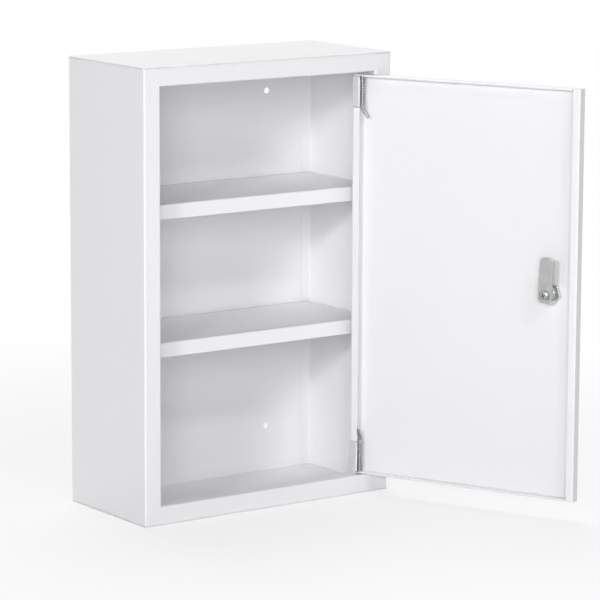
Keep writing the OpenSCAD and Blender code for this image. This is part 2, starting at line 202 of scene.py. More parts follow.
def soften(bm, radius=SEAM_R, segments=2):
    """Rounds every edge that is left square or sharp."""
    sharp = [e for e in bm.edges if len(e.link_faces) == 2 and e.calc_face_angle() > EASED]
    round_off(bm, sharp, radius, segments)


def block(low, high, bm=None):
    """A box between two corners, added to bm or in a mesh of its own."""
    bm = bm or bmesh.new()
    low, high = Vector(low), Vector(high)
    size = Matrix.Diagonal((*(high - low), 1))
    bmesh.ops.create_cube(bm, size=1, matrix=Matrix.Translation((low + high) / 2) @ size)
    return bm


def rod(radius, low, high, steps=32):
    """A cylinder up the Z axis between two heights."""
    bm = bmesh.new()
    bmesh.ops.create_cone(bm, cap_ends=True, segments=steps, radius1=radius, radius2=radius,
                          depth=high - low, matrix=Matrix.Translation((0, 0, (low + high) / 2)))
    return bm


def slab(outline, low, high, rounded, radius):
    """A plate between two heights with this outline, whose corners in rounded get a radius."""
    bm = bmesh.new()
    bm.faces.new([bm.verts.new((x, y, low)) for x, y in outline])
    made = bmesh.ops.extrude_face_region(bm, geom=bm.faces[:])["geom"]
    bmesh.ops.translate(bm, verts=[g for g in made if isinstance(g, bmesh.types.BMVert)],
                        vec=(0, 0, high - low))
    corners = [Vector(outline[i]) for i in rounded]
    upright = [e for e in bm.edges
               if any(all((v.co.xy - c).length < SAME for v in e.verts) for c in corners)]
    round_off(bm, upright, radius, 8)
    bmesh.ops.recalc_face_normals(bm, faces=bm.faces)
    return bm


def turned(profile, steps=48):
    """A solid turned about the Z axis, whose outline is a run of radius and height pairs.

    The run is closed unless both of its ends are on the axis.
    """
    bm = bmesh.new()
    verts = [bm.verts.new((radius, 0, height)) for radius, height in profile]
    edges = [bm.edges.new(pair) for pair in zip(verts, verts[1:])]
    if profile[0][0] > 0:
        edges.append(bm.edges.new((verts[-1], verts[0])))
    bmesh.ops.spin(bm, geom=verts + edges, cent=(0, 0, 0), axis=(0, 0, 1), angle=2 * math.pi,
                   steps=steps, use_merge=True)
    bmesh.ops.remove_doubles(bm, verts=bm.verts, dist=SAME)
    bmesh.ops.recalc_face_normals(bm, faces=bm.faces)
    return bm


def carve(bm, tool, operation="DIFFERENCE"):
    """Cuts, joins or crosses one solid with another and returns the result. Both are used up."""
    solids = [new_object("carving", new_mesh("carving", source)) for source in (bm, tool)]
    cut = solids[0].modifiers.new("cut", "BOOLEAN")
    cut.object, cut.operation, cut.solver = solids[1], operation, "EXACT"
    result = bmesh.new()
    result.from_object(solids[0], bpy.context.evaluated_depsgraph_get())
    for solid in solids:
        mesh = solid.data
        bpy.data.objects.remove(solid)
        bpy.data.meshes.remove(mesh)
    bmesh.ops.dissolve_degenerate(result, dist=SLIVER / 2, edges=result.edges)
    bmesh.ops.dissolve_limit(result, angle_limit=FLAT_WITHIN, verts=result.verts, edges=result.edges)
    return result


ALONG_Z = Matrix.Identity(4)
ALONG_Y = Matrix.Rotation(math.radians(90), 4, "X")


def drill(bm, radius, places, along=ALONG_Z):
    """Makes round holes through a sheet, at these points, along an axis."""
    for place in places:
        bit = rod(radius, -3 * SHEET, 3 * SHEET)
        bmesh.ops.transform(bit, matrix=Matrix.Translation(place) @ along, verts=bit.verts)
        bm = carve(bm, bit)
    return bm


def part_off(bm, place, towards):
    """Keeps the side of a plane that towards points to, and closes the cut."""
    rim = cut_across(bm, place, towards)
    if rim:
        bmesh.ops.holes_fill(bm, edges=rim, sides=0)


def piece(bm, name, body, nodes, finish, place=Matrix.Identity(4)):
    """Makes a mesh a finished piece that rides on a body and stands for CAD nodes."""
    bmesh.ops.transform(bm, matrix=place, verts=bm.verts)
    bmesh.ops.recalc_face_normals(bm, faces=bm.faces)
    for face in bm.faces:
        face.smooth = True
    mesh = new_mesh(name, bm)
    mesh.set_sharp_from_angle(angle=SHARP)
    mesh.materials.append(finish["material"])
    made = new_object(name, mesh)
    level = made.modifiers.new("level faces", "WEIGHTED_NORMAL")
    level.keep_sharp = True
    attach(made, body)
    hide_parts(*nodes)
    return made


# ---------------------------------------------------------------- materials


def colour(code):
    """An sRGB hex colour as the linear values that a shader takes."""
    parts = [int(code[i:i + 2], 16) / 255 for i in (1, 3, 5)]
    return [c / 12.92 if c <= 0.04045 else ((c + 0.055) / 1.055) ** 2.4 for c in parts] + [1]


def node(tree, kind, settings=(), **links):
    """Adds a node. Settings are its attributes, and each link gives an input a value or a socket.

    An input goes by its name, with _ for a space, or by i and its number.
    """
    made = tree.nodes.new(kind)
    for name, value in dict(settings).items():
        setattr(made, name, value)
    for name, value in links.items():
        socket = made.inputs[int(name[1:]) if name[1:].isdigit() else name.replace("_", " ")]
        if isinstance(value, bpy.types.NodeSocket):
            tree.links.new(value, socket)
        else:
            socket.default_value = value
    return made


def new_material(name):
    """A material with no shader yet, its node tree and the socket for places on the piece."""
    material = bpy.data.materials.new(name)
    material.use_nodes = True
    tree = material.node_tree
    tree.nodes.clear()
    return material, tree, node(tree, "ShaderNodeTexCoord").outputs["Object"]


def per_metre(size):
    """A texture's scale for features of this size in metres."""
    return 1 / size


def powder_coat():
    """Polyester powder coat, sprayed and baked: semi-gloss white with a fine orange peel.

    The real peel is about 1 mm across, and is drawn at 2.2 mm so that it shows in highlights. The
    coat's colour and gloss also drift a little over about 90 mm.
    """
    material, tree, place = new_material("white_powder_coat")
    peel = node(tree, "ShaderNodeTexNoise", Vector=place, Scale=per_metre(2.2 * MM), Detail=2.0,
                Roughness=0.5)
    cloud = node(tree, "ShaderNodeTexNoise", Vector=place, Scale=per_metre(90 * MM), Detail=3.0)
    tint = node(tree, "ShaderNodeMix", {"data_type": "RGBA"}, i0=cloud.outputs["Fac"],
                i6=colour("#F0EFF3"), i7=colour("#F3F3F6"))
    gloss = node(tree, "ShaderNodeMapRange", Value=cloud.outputs["Fac"], To_Min=0.34, To_Max=0.42)
    bump = node(tree, "ShaderNodeBump", Height=peel.outputs["Fac"], Strength=0.12,
                Distance=0.05 * MM)
    coat = node(tree, "ShaderNodeBsdfPrincipled", Base_Color=tint.outputs[2], IOR=1.5,
                Roughness=gloss.outputs["Result"], Normal=bump.outputs["Normal"])
    node(tree, "ShaderNodeOutputMaterial", Surface=coat.outputs["BSDF"])
    return {"material": material, "slot": "white_powder_coat"}


def plated(name, slot, pale, dark, smooth, rough, stretch):
    """Plated steel or brass, whose shine varies in streaks left by rolling or drawing.

    Streaks are drawn 0.6 mm wide, where the real ones are finer, and stretched along Z. The metal's
    tone goes from dark to pale between them, and in blotches about 7 mm across. Smooth and rough
    are the least and the most roughness.
    """
    material, tree, place = new_material(name)
    along = node(tree, "ShaderNodeMapping", Vector=place, Scale=(1, 1, 1 / stretch))
    streak = node(tree, "ShaderNodeTexNoise", Vector=along.outputs["Vector"],
                  Scale=per_metre(0.6 * MM), Detail=4.0)
    blotch = node(tree, "ShaderNodeTexNoise", Vector=place, Scale=per_metre(7 * MM), Detail=2.0)
    tone = node(tree, "ShaderNodeMath", {"operation": "MULTIPLY"}, i0=streak.outputs["Fac"],
                i1=blotch.outputs["Fac"])
    tint = node(tree, "ShaderNodeMix", {"data_type": "RGBA"}, i0=tone.outputs["Value"],
                i6=colour(dark), i7=colour(pale))
    gloss = node(tree, "ShaderNodeMapRange", Value=streak.outputs["Fac"], To_Min=smooth, To_Max=rough)
    bump = node(tree, "ShaderNodeBump", Height=streak.outputs["Fac"], Strength=0.1,
                Distance=0.02 * MM)
    metal = node(tree, "ShaderNodeBsdfPrincipled", Base_Color=tint.outputs[2], Metallic=1.0,
                 Roughness=gloss.outputs["Result"], Normal=bump.outputs["Normal"])
    node(tree, "ShaderNodeOutputMaterial", Surface=metal.outputs["BSDF"])
    return {"material": material, "slot": slot}


COAT = powder_coat()
# Dull zinc on the hinge's pressed brackets: pale and a little uneven, with no clear reflections
DULL_ZINC = plated("dull_zinc_plate", "zinc_plated_steel", "#F2F3F4", "#D8DADC", 0.45, 0.6, 12)
# Drawn spring wire under a thin zinc plate: its turns catch small, bright highlights
WIRE = plated("zinc_spring_wire", "zinc_plated_steel", "#DEE0E3", "#B0B2B6", 0.26, 0.4, 3)
# The pins' zinc is duller than the washers', and drawn greyer as painted shade: it stands in for the
# dark reflections along the pins
PIN_ZINC_PAINTED_SHADE = plated("greyed_zinc_painted_shade", "zinc_plated_steel", "#B8BABD", "#8B8D90", 0.3, 0.45, 12)
# Bright zinc on the washers: slightly blue, with soft highlights
ZINC = plated("bright_zinc_plate", "zinc_plated_steel", "#DCDEE0", "#AEB1B4", 0.2, 0.34, 12)
# Satin nickel on the stamped cam: a soft grey with fine grinding marks along it
SATIN = plated("satin_nickel_plate", "nickel_plated_steel", "#D9DBDA", "#A6A9A8", 0.28, 0.42, 20)
# Turned nickel of the cam's screw, drawn greyer than the lock as painted shade, so that its rim and
# recess stay dark
NICKEL_PAINTED_SHADE = plated("greyed_nickel_painted_shade", "nickel_plated_steel", "#D2D3D2", "#9C9D9C", 0.1, 0.22, 3)
# Bright nickel on the turned lock and its nut
NICKEL = plated("bright_nickel_plate", "nickel_plated_steel", "#E6E7E6", "#C6C7C6", 0.08, 0.18, 3)
# Stamped brass of the lock's wafers
BRASS = plated("stamped_brass", "brass", "#D9B56A", "#A8823E", 0.25, 0.4, 4)

# ---------------------------------------------------------------- case

SEAM_GAP = 0.22 * MM                            # groove between the frame and the flat top or bottom
WELD_FLANGE = 10 * MM                           # width of the strips that the top and bottom lie on
SHELF_GAP = 3 * MM                              # width of the gap at each folded corner of a shelf
WALL_HOLE_R = 3 * MM
WALL_HOLE_X, WALL_HOLE_Z = 92 * MM, 179 * MM    # the holes' distance from the middle of the back


def folded_case():
    """The skin of the stiles, rails and side walls as one solid, before it is cut into pieces."""
    bm = bmesh.new()
    rings = []
    for half_x, half_z in ((HALF_W, HALF_H - SHEET - SEAM_GAP), (OPEN_X, OPEN_Z)):
        ring = [bm.verts.new((x * half_x, FRONT, z * half_z)) for x, z in CORNERS]
        rings.append([bm.edges.new((ring[i - 1], ring[i])) for i in range(4)])
    outer, inner = rings
    bmesh.ops.bridge_loops(bm, edges=outer + inner)
    push(bm, inner, (0, RETURN_REAR - FRONT, 0))
    creases = list(inner)
    for side in (-1, 1):
        front_edge = lying(outer, 0, side * HALF_W)
        rear_edge = push(bm, front_edge, (0, -FRONT, 0))
        push(bm, rear_edge, (side * (BACK_X - HALF_W), 0, 0))
        creases += front_edge + rear_edge
    fold(bm, creases)
    thicken(bm, (0, -1, 0))
    soften(bm)
    return bm


def weld_flange(bm, end, low, high):
    """Adds the strip that the flat top (end 1) or bottom (end -1) is welded to."""
    inner = end * (HALF_H - SHEET)
    under, over = sorted((inner, inner - end * SHEET))
    block((*low, under), (*high, over), bm)


def make_case():
    """Two side panels and two rails, cut from the folded skin where their welds are."""
    whole = folded_case()
    cut_x = OPEN_X - SLIVER
    for side, name in ((-1, "left_side"), (1, "right_side")):
        panel = whole.copy()
        part_off(panel, (side * cut_x, 0, 0), (side, 0, 0))
        near, far = sorted((side * (HALF_W - WELD_FLANGE), side * (HALF_W - SHEET)))
        for end in (-1, 1):
            weld_flange(panel, end, (near, RETURN_REAR + 2 * SHEET), (far, -WELD_FLANGE))
        piece(panel, name + "_sheet", "case", [name + "_panel"], COAT)
    for end, name in ((1, "top_rail"), (-1, "bottom_rail")):
        rail = whole.copy()
        for side in (-1, 1):
            part_off(rail, (side * cut_x, 0, 0), (-side, 0, 0))
        part_off(rail, (0, 0, 0), (0, 0, end))
        weld_flange(rail, end, (-cut_x, FRONT + SHEET), (cut_x, FRONT + WELD_FLANGE))
        rail = drill(rail, PIN_HOLE_R, [(PIN.x, PIN.y, end * OPEN_Z)])
        piece(rail, name + "_sheet", "case", [name], COAT)
    whole.free()


def flat_sheet(node_name, name, holes=()):
    """A flat panel with eased edges, in the place of its CAD node."""
    low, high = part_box(node_name)
    bm = drill(block(low, high), WALL_HOLE_R, holes, ALONG_Y)
    soften(bm)
    piece(bm, name, "case", [node_name], COAT)


def make_shelf(node_name, name):
    """A shallow tray turned upside down, with open corners."""
    low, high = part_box(node_name)
    bm = bmesh.new()
    columns = (low.y, low.y + SHELF_GAP, high.y - SHELF_GAP, high.y)
    rows = [[bm.verts.new((x, y, high.z)) for y in columns] for x in (low.x, high.x)]
    for i in range(3):
        bm.faces.new((rows[0][i], rows[1][i], rows[1][i + 1], rows[0][i + 1]))
    down = (0, 0, low.z - high.z)
    ends = lying(bm.edges, 1, low.y) + lying(bm.edges, 1, high.y)
    sides = [bm.edges.get((row[1], row[2])) for row in rows]
    for edges in (ends[:1], ends[1:], sides[:1], sides[1:]):
        push(bm, edges, down)
    fold(bm, ends + sides)
    thicken(bm, (0, 0, 1))
    soften(bm)
    piece(bm, name, "case", [node_name], COAT)


def make_door_stop(node_name, name):
    """A small angle, welded by its foot to the left return flange."""
    low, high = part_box(node_name)
    bm = bmesh.new()
    tip = [bm.edges.new([bm.verts.new((high.x, low.y, z)) for z in (low.z, high.z)])]
    heel = push(bm, tip, (low.x - high.x, 0, 0))
    push(bm, heel, (0, high.y - low.y, 0))
    fold(bm, heel, SMALL_BEND_R)
    thicken(bm, (0, -1, 0))
    soften(bm)
    piece(bm, name, "case", [node_name], COAT)


make_case()
flat_sheet("top_panel", "top_sheet")
flat_sheet("bottom_panel", "bottom_sheet")
flat_sheet("back_panel", "back_sheet",
           [(x * WALL_HOLE_X, -SHEET / 2, z * WALL_HOLE_Z) for x, z in CORNERS])
make_shelf("lower_shelf", "lower_shelf_tray")
make_shelf("upper_shelf", "upper_shelf_tray")
make_door_stop("lower_door_stop", "lower_stop_angle")
make_door_stop("upper_door_stop", "upper_stop_angle")

# ---------------------------------------------------------------- door

DOOR_LIP = 8 * MM
HEM = 6 * MM
HEM_R = 1.04 * MM                               # outside radius of the closed hem's fold
HEM_PLAY = 0.04 * MM                            # between a wall and the hem folded onto it
HEM_TO_LIP = 1 * MM                             # from a hem's end to the lip of the free side
HEM_TO_PIN = 4.1 * MM                           # and from its other end to the hinge pin's axis
DOOR_HOLE_R = PIN_HOLE_R + 0.5 * MM             # the pins pass the door's walls with more play
DOOR_EDGE_R = 0.25 * MM
BARREL_R = 8 * MM                               # of the lock
FLAT = 7 * MM                                   # from the lock's axis up or down to the barrel's flats
# The lock is drawn up its own axis, with z = 0 on the door's outer face
ON_LOCK = Matrix.Translation((LOCK_X, FRONT, LOCK_Z)) @ Matrix.Rotation(math.radians(-90), 4, "X")


def lock_hole():
    """The hole that the lock's barrel goes through, as a solid to cut with."""
    low, high = -2 * SHEET, 3 * SHEET
    flats = block((-2 * BARREL_R, -FLAT - SHIM, 2 * low), (2 * BARREL_R, FLAT + SHIM, 2 * high))
    hole = carve(rod(BARREL_R + SHIM, low, high, 64), flats, "INTERSECT")
    bmesh.ops.transform(hole, matrix=ON_LOCK, verts=hole.verts)
    return hole


def make_door():
    """A folded tray: lips along its upright sides, and closed hems on its top and bottom walls."""
    low, high = door_low, door_high
    wall_rear = LIP_Y - SHEET
    bm = bmesh.new()
    bm.faces.new([bm.verts.new((high.x if x > 0 else low.x, FRONT, high.z if z > 0 else low.z))
                  for x, z in CORNERS])
    front = bm.edges[:]
    rear = push(bm, front, (0, wall_rear - FRONT, 0))
    creases = list(front)
    for x, inward in ((low.x, 1), (high.x, -1)):
        turn = push(bm, lying(rear, 0, x), (0, SHEET, 0))
        push(bm, turn, (inward * DOOR_LIP, 0, 0))
        creases += turn
    fold(bm, creases)
    hem_x = (low.x + DOOR_LIP + HEM_TO_LIP, PIN.x - HEM_TO_PIN)
    for x in hem_x:
        cut_across(bm, (x, 0, 0), (1, 0, 0), keep_all=True)
    hems = []
    for z, inward in ((low.z, 1), (high.z, -1)):
        wall = [e for e in lying(lying(bm.edges, 2, z), 1, wall_rear)
                if all(hem_x[0] - SAME < v.co.x < hem_x[1] + SAME for v in e.verts)]
        first = push(bm, wall, (0, SHEET, 0))
        second = push(bm, first, (0, 0, inward * (2 * HEM_R + HEM_PLAY)))
        push(bm, second, (0, -HEM, 0))
        hems += first + second
    fold(bm, hems, HEM_R, 4)
    thicken(bm, (0, -1, 0))
    bm = drill(bm, DOOR_HOLE_R, [(PIN.x, PIN.y, z) for z in (low.z + SHEET / 2, high.z - SHEET / 2)])
    bm = carve(bm, lock_hole())
    soften(bm, DOOR_EDGE_R)
    piece(bm, "door_tray", "door", ["door_panel"], COAT, OPEN)


make_door()

# ---------------------------------------------------------------- hinges

BRACKET_H = 33 * MM
BRACKET_X = (1.2 * MM, 8.2 * MM)                # the plate's edges, measured from the pin's axis
BRACKET_EDGE_R = 0.2 * MM
EAR_R = 3.6 * MM                                # half the width of an ear, round the pin
EAR_ROUND_R = 0.97 * EAR_R
LIP_REAR = LIP_Y - PIN.y                        # the lip's rear face, measured from the pin's axis
LIP_EDGE = door_high.x - DOOR_LIP - PIN.x       # and its free edge
LIP_PLAY = 0.4 * MM                             # between that edge and the ears
PIN_R = 1.5 * MM
PIN_LENGTH = 42 * MM                            # from a pin's tip to its bend
TIP_BEVEL, TAIL_BEVEL = 0.6 * MM, 0.9 * MM
TAIL_BEND_R = 2 * MM
TAIL_BEND = math.radians(38)
TAIL_LENGTH = 11 * MM
TAIL_TURNS = {"upper": 0, "lower": -76}         # degrees round the pin, as the pins happen to stand
SLEEVE_R, FLANGE_R, FLANGE_T = 2.2 * MM, 2.8 * MM, 1 * MM   # of a collar
COLLAR_EDGE = 0.15 * MM
COIL_R = 2.55 * MM                              # of a spring, to the middle of its wire
WIRE_R = 0.4 * MM
CLOSED_TURNS = 0.8                              # at each end of a spring
CLOSED_PITCH = 2.05 * WIRE_R                    # closed turns all but touch
OPEN_TURNS = 9
TURN_STEPS = 20

# A hinge is drawn from its pin's axis as the upper one, with z = 0 on its outer ear, under the
# door's top wall. The lower one is its mirror image.
UPPER_HINGE = OPEN @ Matrix.Translation((PIN.x, PIN.y, door_high.z - SHEET))
LOWER_HINGE = (OPEN @ Matrix.Translation((PIN.x, PIN.y, door_low.z + SHEET))
               @ Matrix.Diagonal((1, 1, -1, 1)))


def hinge_bracket():
    """A pressed channel: a plate on the door's lip, and two ears that reach round it to the pin."""
    bm = bmesh.new()
    rear = LIP_REAR + SHEET
    start = [bm.edges.new([bm.verts.new((x, -EAR_R, 0)) for x in (-EAR_R, BRACKET_X[1])])]
    outer = push(bm, start, (0, rear + EAR_R, 0))
    inner = push(bm, outer, (0, 0, -BRACKET_H))
    push(bm, inner, (0, -rear - EAR_R, 0))
    fold(bm, outer + inner, SMALL_BEND_R, 4)
    thicken(bm, (0, 1, 0))
    beside_plate = block((-2 * EAR_R, 0, SHEET - BRACKET_H), (BRACKET_X[0], 2 * rear, -SHEET))
    bm = carve(bm, beside_plate)
    past, ear_x = 2 * BRACKET_X[1], LIP_EDGE - LIP_PLAY
    ears = [(past, 2 * rear), (past, LIP_REAR), (ear_x, LIP_REAR), (ear_x, EAR_R), (EAR_R, EAR_R),
            (EAR_R, -EAR_R), (-EAR_R, -EAR_R), (-EAR_R, 2 * rear)]
    bm = carve(bm, slab(ears, -1.5 * BRACKET_H, BRACKET_H, (4, 5, 6), EAR_ROUND_R), "INTERSECT")
    bm = drill(bm, PIN_HOLE_R, [(0, 0, 0), (0, 0, -BRACKET_H)])
    soften(bm, BRACKET_EDGE_R)
    return bm


def hinge_pin(tip, tail_turn):
    """A round pin with a bevelled tip and a bent tail, down from the height of its tip."""
    bend_top = tip - PIN_LENGTH
    bm = bmesh.new()
    bmesh.ops.create_circle(bm, cap_ends=True, segments=28, radius=PIN_R,
                            matrix=Matrix.Translation((0, 0, tip)))
    tip_ring = bm.edges[:]
    ring = push(bm, tip_ring, (0, 0, bend_top - tip))
    around = {v for e in ring for v in e.verts}
    bend = bmesh.ops.spin(bm, geom=list(around) + ring, cent=(-TAIL_BEND_R, 0, bend_top),
                          axis=(0, 1, 0), angle=TAIL_BEND, steps=8)["geom_last"]
    along = Vector((-math.sin(TAIL_BEND), 0, -math.cos(TAIL_BEND)))
    ring = push(bm, [g for g in bend if isinstance(g, bmesh.types.BMEdge)], along * TAIL_LENGTH)
    bmesh.ops.holes_fill(bm, edges=ring, sides=0)
    round_off(bm, tip_ring, TIP_BEVEL, 3)
    round_off(bm, ring, TAIL_BEVEL, 3)
    bmesh.ops.rotate(bm, verts=bm.verts, matrix=Matrix.Rotation(math.radians(tail_turn), 3, "Z"))
    return bm


def pin_collar(low):
    """A turned collar, pressed on the pin from the outer ear down to low, with a flange there."""
    sleeve, flange, ease = SLEEVE_R, FLANGE_R, COLLAR_EDGE
    top, step = -SHEET - SHIM / 2, low + FLANGE_T
    return turned([(PIN_R, top), (sleeve - ease, top), (sleeve, top - ease), (sleeve, step),
                   (flange - ease, step), (flange, step - ease), (flange, low + ease),
                   (flange - ease, low), (PIN_R, low)])


def pin_spring(low, high):
    """A compression spring of round wire, with its end turns closed up."""
    room = high - low - 2 * WIRE_R
    open_pitch = (room - 2 * CLOSED_TURNS * CLOSED_PITCH) / OPEN_TURNS
    start = Matrix.Translation((COIL_R, 0, low + WIRE_R)) @ Matrix.Rotation(math.radians(90), 4, "X")
    bm = bmesh.new()
    bmesh.ops.create_circle(bm, cap_ends=True, segments=12, radius=WIRE_R, matrix=start)
    ring = bm.verts[:] + bm.edges[:]
    for turns, pitch in ((CLOSED_TURNS, CLOSED_PITCH), (OPEN_TURNS, open_pitch),
                         (CLOSED_TURNS, CLOSED_PITCH)):
        steps = round(turns * TURN_STEPS)
        ring = bmesh.ops.spin(bm, geom=ring, cent=(0, 0, 0), axis=(0, 0, 1),
                              dvec=(0, 0, turns * pitch / steps), angle=turns * 2 * math.pi,
                              steps=steps)["geom_last"]
    bmesh.ops.holes_fill(bm, edges=[g for g in ring if isinstance(g, bmesh.types.BMEdge)], sides=0)
    return bm


def make_hinge(side, place):
    """One hinge. Its sizes along the pin come from the CAD nodes, turned back to shut."""
    back = place.inverted()
    pin_tip = node_box(side + "_hinge_pin", back)[1].z
    collar_low = node_box(side + "_pin_collar", back)[0].z
    coil_low, coil_high = (corner.z for corner in node_box(side + "_pin_spring", back))
    piece(hinge_bracket(), side + "_bracket", "door", [side + "_hinge_bracket"], DULL_ZINC, place)
    piece(hinge_pin(pin_tip, TAIL_TURNS[side]), side + "_bent_pin", side + "_pin",
          [side + "_hinge_pin"], PIN_ZINC_PAINTED_SHADE, place)
    piece(pin_collar(collar_low), side + "_collar", side + "_pin", [side + "_pin_collar"], PIN_ZINC_PAINTED_SHADE,
          place)
    spring = piece(pin_spring(coil_low, coil_high), side + "_spring", "door",
                   [side + "_pin_spring"], WIRE, place)
    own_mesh(spring)


make_hinge("upper", UPPER_HINGE)
make_hinge("lower", LOWER_HINGE)

# ---------------------------------------------------------------- lock

IN_LOCK = OPEN @ ON_LOCK
LOCK_EDGE_R = 0.12 * MM
BEZEL_R, BEZEL_T = 10 * MM, 2.2 * MM            # the round front that shows on the shut door
BARREL_END = 14 * MM
THREAD_LOW = 1.25 * MM                          # height of the thread's first crest
THREAD_DEPTH, THREAD_PITCH, THREAD_TURNS = 0.5 * MM, 1 * MM, 12
WASHER_R, WASHER_T, WASHER_TOOTH = 9.4 * MM, 0.8 * MM, 0.8 * MM
NUT_ACROSS, NUT_T, NUT_CHAMFER = 19 * MM, 4.5 * MM, 0.9 * MM
NUT_TURN = math.radians(-45)                    # as it happened to end up when it was tightened
PLUG_R, PLUG_PLAY = 6 * MM, 0.06 * MM
PLUG_FACE = -1.7 * MM
KEYWAY = ((-1 * MM, -4 * MM), (1 * MM, 4 * MM))
KEYWAY_END = 9.3 * MM
WAFERS = [(0.5 + 2.2 * i) * MM for i in range(4)]
WAFER = Vector((3.5, 4.5, 0)) * MM              # half its width and half its height
WAFER_T = 1 * MM
SQUARE = 3.5 * MM                               # half the width of the plug's square end
STOP_R = 7.6 * MM
CAM_LOW, CAM_HIGH = 16.2 * MM, 18.2 * MM
CAM_HEEL, CAM_TIP = 8 * MM, -38 * MM            # along the cam, from the lock's axis
HEEL_HALF, TIP_HALF = 7.75 * MM, 7.25 * MM      # half the cam's width at its ends
CAM_CORNER_R, CAM_EDGE_R = 5 * MM, 0.45 * MM
CAM_LEAN = math.radians(-3)
RING_R = 4.4 * MM
SEAT = CAM_HIGH + 0.8 * MM                      # where the screw's head lies on its ring
SCREW_R, SCREW_LENGTH = 2 * MM, 8.9 * MM        # of the shank
HOLE_PAST = 0.3 * MM                            # the plug's hole goes this much deeper
# The head's outline from its underside to its crown, as radius and height in millimetres
PAN_HEAD = ((4.7, 0), (5, 0.3), (5, 0.9), (4.8, 1.5), (4.3, 2.0), (3.5, 2.3), (2.9, 2.4), (0, 2.4))
SLOT_HALF, SLOT_WIDE = 2.8 * MM, 0.65 * MM      # half the length and width of the cross's two slots
SLOT_LOW = SEAT - 0.6 * MM                      # the recess reaches down into the shank
SLOT_TURNS = (20, 110)                          # degrees


def housing():
    """Round front and threaded barrel with two flats. The thread is drawn as rings, not a helix."""
    bore = PLUG_R + PLUG_PLAY
    root = BARREL_R - THREAD_DEPTH
    front = [(bore, 0.3 * MM - BEZEL_T), (bore + 0.3 * MM, -BEZEL_T), (BEZEL_R - 0.8 * MM, -BEZEL_T),
             (BEZEL_R - 0.25 * MM, 0.25 * MM - BEZEL_T), (BEZEL_R, 0.8 * MM - BEZEL_T), (BEZEL_R, 0),
             (BARREL_R, 0)]
    thread = [(radius, THREAD_LOW + (i + part) * THREAD_PITCH)
              for i in range(THREAD_TURNS) for part, radius in ((0, BARREL_R), (0.5, root))]
    bm = turned(front + thread + [(BARREL_R - 0.3 * MM, BARREL_END), (bore, BARREL_END)], 64)
    soften(bm, LOCK_EDGE_R)
    for side in (-1, 1):
        near, far = sorted((side * FLAT, side * 2 * FLAT))
        bm = carve(bm, block((-2 * FLAT, near, 0), (2 * FLAT, far, 2 * BARREL_END)))
    return bm


def toothed_washer():
    """A thin washer, with twelve notches in its rim cut by six bars across it."""
    low, high = SHEET, SHEET + WASHER_T
    bore, half = BARREL_R + SHIM, WASHER_TOOTH / 2
    bm = turned([(bore, low), (WASHER_R, low), (WASHER_R, high), (bore, high)], 72)
    for i in range(6):
        bar = block((-2 * WASHER_R, -half, low - SHEET), (2 * WASHER_R, half, high + SHEET))
        bar = carve(bar, rod(WASHER_R - WASHER_TOOTH, -2 * SHEET, 4 * SHEET, 48))
        bmesh.ops.rotate(bar, verts=bar.verts, matrix=Matrix.Rotation(math.radians(30 * i), 3, "Z"))
        bm = carve(bm, bar)
    return bm


def barrel_nut():
    """A thin hexagonal nut, chamfered on both faces."""
    low, high = SHEET + WASHER_T, SHEET + WASHER_T + NUT_T
    corner, fall = NUT_ACROSS / math.sqrt(3), NUT_CHAMFER
    blank = rod(corner, low, high, 6)
    bmesh.ops.rotate(blank, verts=blank.verts, matrix=Matrix.Rotation(NUT_TURN, 3, "Z"))
    cone = turned([(0, low), (corner - fall, low), (corner + SHIM, low + fall / 2),
                   (corner + SHIM, high - fall / 2), (corner - fall, high), (0, high)], 84)
    bm = carve(blank, cone, "INTERSECT")
    return carve(bm, rod(BARREL_R, low - SHEET, high + SHEET, 64))


def wafer_blocks(extra):
    """The wafers uncut, or with extra on every side, the slots that they slide in."""
    bm = bmesh.new()
    more = Vector((extra, extra, extra))
    for low in WAFERS:
        block(Vector((0, 0, low)) - WAFER - more, Vector((0, 0, low + WAFER_T)) + WAFER + more, bm)
    return bm


def key_slot():
    return block((*KEYWAY[0], PLUG_FACE - SHEET), (*KEYWAY[1], KEYWAY_END))


def square_bar(low, high, extra=0):
    side = SQUARE + extra
    return block((-side, -side, low), (side, side, high))


def key_plug():
    """A round plug that the key turns, with slots for its wafers and a square end for the cam."""
    bm = carve(rod(PLUG_R, PLUG_FACE, BARREL_END, 64), square_bar(BARREL_END - SHIM, CAM_HIGH), "UNION")
    screw_hole = rod(SCREW_R + SLIVER, SEAT - SCREW_LENGTH - HOLE_PAST, 2 * CAM_HIGH)
    for tool in (key_slot(), wafer_blocks(SHIM), screw_hole):
        bm = carve(bm, tool)
    return bm


def stop_washer():
    low, high = BARREL_END + SHIM, CAM_LOW - SHIM
    bm = turned([(0, low), (STOP_R, low), (STOP_R, high), (0, high)])
    return carve(bm, square_bar(0, CAM_HIGH, SHIM))


def cam_plate():
    """A flat plate that catches behind the frame, a little narrower at its tip."""
    outline = [(-HEEL_HALF, CAM_HEEL), (-TIP_HALF, CAM_TIP), (TIP_HALF, CAM_TIP), (HEEL_HALF, CAM_HEEL)]
    bm = slab(outline, CAM_LOW, CAM_HIGH, range(4), CAM_CORNER_R)
    bmesh.ops.rotate(bm, verts=bm.verts, matrix=Matrix.Rotation(CAM_LEAN, 3, "Z"))
    return carve(bm, square_bar(0, 2 * CAM_HIGH, SHIM))


def screw_ring():
    bore, low = SCREW_R + SHIM, CAM_HIGH + SHIM
    return turned([(bore, low), (RING_R, low), (RING_R, SEAT), (bore, SEAT)])


